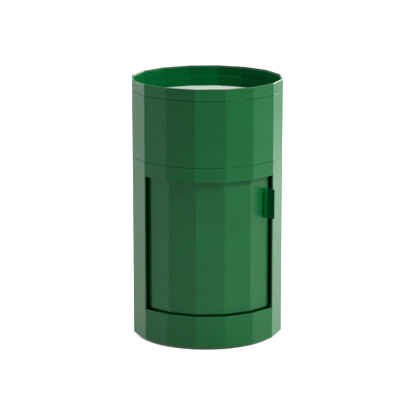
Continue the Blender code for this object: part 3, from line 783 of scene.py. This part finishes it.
def copies_tree():
    """Sets a pattern piece on every point, each turned about Z by its number times a step."""
    tree, given, result = geometry_tree("copies", (
        ("Pattern", "Object"), ("Turn Step", "Float"), ("Finish", "Material")))
    number = add(tree, "GeometryNodeInputIndex").outputs[0]
    turn = reckon(tree, "MULTIPLY", number, given["Turn Step"])
    facing = add(tree, "ShaderNodeCombineXYZ", {"Z": turn})
    pattern = add(tree, "GeometryNodeObjectInfo", {"Object": given["Pattern"]})
    points = add(tree, "GeometryNodeMeshToPoints", {"Mesh": given["Geometry"]})
    placed = add(tree, "GeometryNodeInstanceOnPoints", {
        "Points": points.outputs[0], "Instance": pattern.outputs["Geometry"], "Rotation": facing.outputs[0]})
    whole = add(tree, "GeometryNodeRealizeInstances", {"Geometry": placed.outputs[0]})
    coated = add(tree, "GeometryNodeSetMaterial", {"Geometry": whole.outputs[0], "Material": given["Finish"]})
    tree.links.new(coated.outputs[0], result.inputs[0])
    return tree


copies_on_points = copies_tree()


def copies(name, finish, pattern, points, turn=0.0, place=Matrix()):
    """Copies of a pattern mesh on these points, as one plain object carried to its place."""
    pattern.shade_smooth()
    pattern.set_sharp_from_angle(angle=SMOOTH_LIMIT)
    sample = shown("pattern", pattern)
    made = shown(name, polyline(name, points, False))
    run_tree(made, copies_on_points, {"Pattern": sample, "Turn Step": turn, "Finish": finish})
    plain(made)
    made.data.transform(place)
    bpy.data.objects.remove(sample, do_unlink=True)
    return made


def dome(radius, height, base):
    """Outline of a domed head, from the middle of its flat side to its top."""
    turns = [math.pi / 2 * step / DOME_STEPS for step in range(DOME_STEPS + 1)]
    return [(0.0, base)] + [(radius * math.cos(turn), base + height * math.sin(turn)) for turn in turns]


rivet_low, rivet_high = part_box("tab_rivet_1")
rivet_radius = (rivet_high.z - rivet_low.z) / 2
rivet_levels = [sum(corner.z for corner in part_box(f"tab_rivet_{number}")) / 2 for number in (1, 2)]
rivet_apothem = skin_apothem + 2 * TAB_SEAT + TAB_SHEET
rivet_along = TAB_ALONG + (TAB_SHEET + TAB_FOOT) / 2
rivet_face = Vector(flat_point(rivet_apothem, TAB_FLAT, rivet_along))
outward = Vector(flat_point(1.0, TAB_FLAT, 0.0))
rivet_axes = Matrix((Vector((0.0, 0.0, 1.0)), outward.cross((0.0, 0.0, 1.0)), outward)).transposed().to_4x4()
rivet_dome = turned(dome(rivet_radius, RIVET_HEAD, 0.0), RIVET_STEPS)
tab_rivets = copies("tab_rivet_heads", zinc_steel, rivet_dome, [(level, 0.0, 0.0) for level in rivet_levels],
                    place=Matrix.Translation(rivet_face) @ rivet_axes)
seat(tab_rivets, "door", "zinc_steel", "tab_rivet_1", "tab_rivet_2")

# Castor plates
# Four square top plates of zinc-plated steel, each with the race that the fork turns in and a riveted
# kingpin. Four bolts hold each to the base deck, with their domed heads in the compartment.
CASTORS = (1, 2, 3, 4)
PLATE_SIZE = 0.0600
PLATE_CORNER = 0.0060
PLATE_STEPS = 6
PLATE_SHEET = 0.0025
PLATE_ROUND = 0.0005
RACE_RADIUS = 0.0170
RACE_ROUND = 0.0010
RACE_STEPS = 5
KINGPIN_RADIUS = 0.0050
KINGPIN_HEAD = 0.0075
KINGPIN_HEAD_HEIGHT = 0.0012
KINGPIN_ROUND = 0.0004
KINGPIN_STEPS = 4
RACE_DROP = 0.0069
BOLT_INSET = 0.0080
BOLT_DOME = 0.0058
BOLT_DOME_HEIGHT = 0.0030
NUT_RADIUS = 0.0058
NUT_HEIGHT = 0.0035
NUT_ROUND = 0.0004
NUT_STEPS = 2
NUT_SIDES = 6
TURNED_STEPS = 64


def castor_places(number):
    """A castor's kingpin, with X along its trail, and its axle, with Z along the bolt."""
    joints = {joint["name"]: Vector(joint["pos_m"]) for joint in frame["joints"] if "pos_m" in joint}
    pivot = joints[f"swivel_turn_{number}"]
    wheel = joints[f"wheel_roll_{number}"]
    trail = Vector((wheel.x - pivot.x, wheel.y - pivot.y, 0.0))
    turn = Matrix.Rotation(math.atan2(trail.y, trail.x), 4, "Z")
    kingpin = Matrix.Translation((pivot.x, pivot.y, 0.0)) @ turn
    bolt_turn = Matrix.Rotation(math.radians(90.0), 4, "X")
    return kingpin, kingpin @ Matrix.Translation((trail.length, 0.0, wheel.z)) @ bolt_turn


def rounded_square(size, radius, steps):
    """Plan points of a square with rounded corners."""
    half = size / 2
    corners = [(half, 0.0), (half, half), (-half, half), (-half, -half), (half, -half), (half, 0.0)]
    return [(x, y, 0.0) for x, y in rounded_line(corners, radius, steps)[1:-1]]


bolt_reach = PLATE_SIZE / 2 - BOLT_INSET
bolt_corners = [(x, y, 0.0) for x in (-bolt_reach, bolt_reach) for y in (-bolt_reach, bolt_reach)]
bolt_points = []
for number in CASTORS:
    kingpin_place, _ = castor_places(number)
    plate_node = f"castor_plate_{number}"
    plate_low, plate_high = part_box(plate_node)
    plate_under = plate_high.z - PLATE_SHEET
    plate_middle = plate_under + PLATE_SHEET / 2
    race_low = plate_under - RACE_DROP
    pin_head = plate_low.z + KINGPIN_HEAD_HEIGHT
    plate_outline = rounded_square(PLATE_SIZE, PLATE_CORNER, PLATE_STEPS)
    square = slab("plate", zinc_steel, plate_outline, plate_under, plate_high.z)
    ease_edges(square, PLATE_ROUND)
    race = rounded_line([
        (0.0, plate_middle), (RACE_RADIUS, plate_middle),
        (RACE_RADIUS, race_low), (KINGPIN_RADIUS, race_low)], RACE_ROUND, RACE_STEPS)
    pin = rounded_line([
        (KINGPIN_RADIUS, pin_head), (KINGPIN_HEAD, pin_head),
        (KINGPIN_HEAD, plate_low.z), (0.0, plate_low.z)], KINGPIN_ROUND, KINGPIN_STEPS)
    plate = gathered(f"{plate_node}_pressing", zinc_steel, square.data, turned(race + pin, TURNED_STEPS))
    plate.data.transform(kingpin_place)
    bpy.data.objects.remove(square, do_unlink=True)
    seat(plate, "drum", "zinc_steel", plate_node)
    bolt_points += [tuple(kingpin_place @ Vector(corner)) for corner in bolt_corners]

deck_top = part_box("base_deck")[1].z
bolt_dome = turned(dome(BOLT_DOME, BOLT_DOME_HEIGHT, deck_top), RIVET_STEPS)
bolt_heads = copies("castor_bolt_heads", zinc_steel, bolt_dome, bolt_points)
seat(bolt_heads, "drum", "zinc_steel")
nut_under = plate_under - NUT_HEIGHT
nut_outline = rounded_line([
    (0.0, nut_under), (NUT_RADIUS, nut_under), (NUT_RADIUS, plate_under), (0.0, plate_under)],
    NUT_ROUND, NUT_STEPS)
bolt_nuts = copies("castor_bolt_nuts", zinc_steel, turned(nut_outline, NUT_SIDES), bolt_points)
seat(bolt_nuts, "drum", "zinc_steel")

# Castor forks and axles
# Each fork is bent from one zinc-plated blank, with a crown on the kingpin and two legs that end in round
# eyes. A bolt with a hexagon head and nut is its axle.
FORK_ROUND = 0.0007
AXLE_RADIUS = 0.0030
HEXAGON_RADIUS = 0.0050
HEXAGON_HEIGHT = 0.0026
AXLE_END = 0.0008
for number in CASTORS:
    _, axle_place = castor_places(number)
    body = f"swivel_{number}"
    fork = rounded_copy(f"castor_fork_{number}_bending", zinc_steel, FORK_ROUND, f"castor_fork_{number}")
    seat(fork, body, "zinc_steel", f"castor_fork_{number}")
    axle_low, axle_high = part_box(f"castor_axle_{number}")
    axle_end = math.hypot(axle_high.x - axle_low.x, axle_high.y - axle_low.y) / 2 - AXLE_RADIUS
    rod_outline = [(0.0, -axle_end), (AXLE_RADIUS, -axle_end), (AXLE_RADIUS, axle_end), (0.0, axle_end)]
    head_near = axle_end - AXLE_END
    head_far = head_near + HEXAGON_HEIGHT
    hexagon = rounded_line([
        (0.0, head_near), (HEXAGON_RADIUS, head_near), (HEXAGON_RADIUS, head_far), (0.0, head_far)],
        NUT_ROUND, NUT_STEPS)
    head = turned(hexagon, NUT_SIDES)
    nut = turned([(radius, -height) for radius, height in hexagon], NUT_SIDES)
    axle = gathered(f"castor_axle_{number}_bolt", zinc_steel, turned(rod_outline, TURNED_STEPS), head, nut)
    axle.data.transform(axle_place)
    seat(axle, body, "zinc_steel", f"castor_axle_{number}")

# Castor wheels
# A hub moulded from grey nylon, with eight ribs on each side of its web, and a black rubber tyre moulded
# round its rim. The wheel turns on the axle bolt between the fork's legs.
WHEEL_RADIUS = 0.0250
TYRE_HALF = 0.0085
TYRE_BEAD = 0.0182
TYRE_ROUND = 0.0030
TYRE_STEPS = 6
BEAD_GAP = 0.0003
HUB_HALF = 0.0093
HUB_BOSS = 0.0080
HUB_RIM = 0.0150
HUB_RIM_HALF = 0.0060
HUB_WEB_HALF = 0.0020
HUB_BORE = 0.0031
HUB_ROUND = 0.0004
HUB_STEPS = 2
RIB_COUNT = 8
RIB_THICKNESS = 0.0016
RIB_HALF = 0.0054
RIB_SINK = 0.0006
GREY = (0.16, 0.16, 0.165)
GREY_DARK = (0.12, 0.12, 0.125)
grey_nylon = nylon("grey_nylon_moulding", GREY, GREY_DARK)
tyre_rubber = rubber("tyre_rubber_moulding")


def rib_blade():
    """One rib of the hub, from the boss to the rim and through the web."""
    edit = bmesh.new()
    length = HUB_RIM - HUB_BOSS + 2 * RIB_SINK
    middle = Matrix.Translation(((HUB_RIM + HUB_BOSS) / 2, 0.0, 0.0))
    bmesh.ops.create_cube(edit, matrix=middle @ Matrix.Diagonal((length, RIB_THICKNESS, 2 * RIB_HALF, 1.0)))
    return as_mesh("rib", edit)


tread = rounded_line([
    (TYRE_BEAD, 0.0), (TYRE_BEAD, -TYRE_HALF), (WHEEL_RADIUS, -TYRE_HALF), (WHEEL_RADIUS, TYRE_HALF),
    (TYRE_BEAD, TYRE_HALF), (TYRE_BEAD, 0.0)], TYRE_ROUND, TYRE_STEPS)
hub_lower = [
    (HUB_BORE, 0.0), (HUB_BORE, -HUB_HALF), (HUB_BOSS, -HUB_HALF), (HUB_BOSS, -HUB_WEB_HALF),
    (HUB_RIM, -HUB_WEB_HALF), (HUB_RIM, -HUB_RIM_HALF), (TYRE_BEAD - BEAD_GAP, -HUB_RIM_HALF)]
hub_upper = [(radius, -height) for radius, height in reversed(hub_lower)]
hub_outline = rounded_line(hub_lower + hub_upper, HUB_ROUND, HUB_STEPS)
rib_points = [(0.0, 0.0, 0.0)] * RIB_COUNT
rib_turn = 2 * math.pi / RIB_COUNT
for number in CASTORS:
    _, axle_place = castor_places(number)
    body = f"wheel_{number}"
    tyre = gathered(f"castor_tyre_{number}_moulding", tyre_rubber, turned(tread, TURNED_STEPS, axle_place))
    seat(tyre, body, "tyre_rubber", f"castor_tyre_{number}")
    core = turned(hub_outline, TURNED_STEPS)
    ribs = copies("ribs", grey_nylon, rib_blade(), rib_points, rib_turn)
    hub = gathered(f"castor_hub_{number}_moulding", grey_nylon, core, ribs.data)
    hub.data.transform(axle_place)
    bpy.data.objects.remove(ribs, do_unlink=True)
    seat(hub, body, "grey_nylon", f"castor_hub_{number}")

# Set
# A pale floor that glows white except in a disc under the drum, where the glow is held back so that the floor
# shows its real shade; the disc's edge, set off towards the front left, is a painted shadow. Then a white
# surround, and four soft lamps: a key lamp high at the front right, a wide one behind on each side, and a
# weak one overhead. The camera looks down from the front, a little to the left of the drum's middle.
WHITE = (1.0, 1.0, 1.0)
FLOOR_PALE = (0.60, 0.60, 0.60)
FLOOR_GLOW = 0.95
SHADE_INNER = 0.186
SHADE_OUTER = 0.194
SHADE_LOW = 0.06
SHADE_MIDDLE = (-0.004, -0.008, 0.0)
FLOOR_HALF = 8.0
WORLD_FILL = 0.162
CAMERA_PLACE = Vector((-0.2509, -5.4887, 1.6008))
CAMERA_AIM = Vector((0.0028, -0.0001, 0.3398))
CAMERA_LENS = 180.55
CAMERA_SENSOR = 36.0


def aimed(place, aim):
    """Rotation of a lamp or camera at a place that looks at a point."""
    return (Vector(aim) - Vector(place)).to_track_quat("-Z", "Y").to_euler()


def soft_lamp(name, turn, distance, height, aim_height, size, watts):
    """A rectangular soft lamp at a turn in degrees from the door's front towards +X."""
    data = bpy.data.lights.new(name, "AREA")
    data.shape = "RECTANGLE"
    data.size, data.size_y = size
    data.energy = watts
    lamp = bpy.data.objects.new(name, data)
    bpy.context.scene.collection.objects.link(lamp)
    angle = math.radians(turn)
    lamp.location = (distance * math.sin(angle), -distance * math.cos(angle), height)
    lamp.rotation_euler = aimed(lamp.location, (0.0, 0.0, aim_height))


floor_edit = bmesh.new()
bmesh.ops.create_grid(floor_edit, x_segments=1, y_segments=1, size=FLOOR_HALF)
floor_mesh = as_mesh("floor", floor_edit)
floor = shown("floor", floor_mesh)
pale, floor_tree, floor_shader, floor_place = material("floor_pale")
floor_shader.inputs["Base Color"].default_value = (*FLOOR_PALE, 1.0)
floor_shader.inputs["Roughness"].default_value = 0.9
floor_shader.inputs["Specular IOR Level"].default_value = 0.0


def clear_rays(tree):
    """One for rays that show the white surround: from the camera, off gloss and through glass."""
    rays = add(tree, "ShaderNodeLightPath").outputs
    either = reckon(tree, "MAXIMUM", rays["Is Camera Ray"], rays["Is Glossy Ray"])
    return reckon(tree, "MAXIMUM", either, rays["Is Transmission Ray"])


# Painted shadow: the glow fades out inside a disc set off towards the front left, and within it the floor
# shows its real shade.
shade_reach = add(floor_tree, "ShaderNodeVectorMath", {0: floor_place, 1: SHADE_MIDDLE},
                  operation="DISTANCE").outputs["Value"]
open_floor = spread(floor_tree, shade_reach, SHADE_LOW, FLOOR_GLOW, SHADE_INNER, SHADE_OUTER)
seen = reckon(floor_tree, "MULTIPLY", clear_rays(floor_tree), open_floor)
glow = add(floor_tree, "ShaderNodeEmission", {"Color": (*WHITE, 1.0), "Strength": seen}).outputs[0]
both = add(floor_tree, "ShaderNodeAddShader", {0: floor_shader.outputs[0], 1: glow}).outputs[0]
floor_tree.links.new(both, floor_tree.nodes["Material Output"].inputs["Surface"])
floor_mesh.materials.append(pale)

world = bpy.data.worlds.new("surround")
bpy.context.scene.world = world
world.use_nodes = True
sky = world.node_tree
back = sky.nodes["Background"]
back.inputs["Color"].default_value = (*WHITE, 1.0)
surround_level = add(sky, "ShaderNodeMapRange", {
    "Value": clear_rays(sky), "To Min": WORLD_FILL, "To Max": 1.0})
sky.links.new(surround_level.outputs[0], back.inputs["Strength"])

soft_lamp("key_lamp", turn=61.0, distance=2.2, height=2.6, aim_height=0.4, size=(0.9, 0.9), watts=68.0)
soft_lamp("right_rim_lamp", turn=132.0, distance=2.6, height=1.2, aim_height=0.4, size=(2.0, 1.0),
          watts=84.0)
soft_lamp("left_rim_lamp", turn=-120.0, distance=2.6, height=0.9, aim_height=0.4, size=(2.0, 1.0),
          watts=28.0)
soft_lamp("top_lamp", turn=0.0, distance=0.01, height=3.2, aim_height=0.0, size=(2.4, 2.4), watts=13.0)

lens = bpy.data.cameras.new("camera")
lens.lens = CAMERA_LENS
lens.sensor_width = CAMERA_SENSOR
camera = bpy.data.objects.new("camera", lens)
bpy.context.scene.collection.objects.link(camera)
camera.location = CAMERA_PLACE
camera.rotation_euler = aimed(CAMERA_PLACE, CAMERA_AIM)
bpy.context.scene.camera = camera
bpy.context.scene.view_settings.view_transform = "Standard"
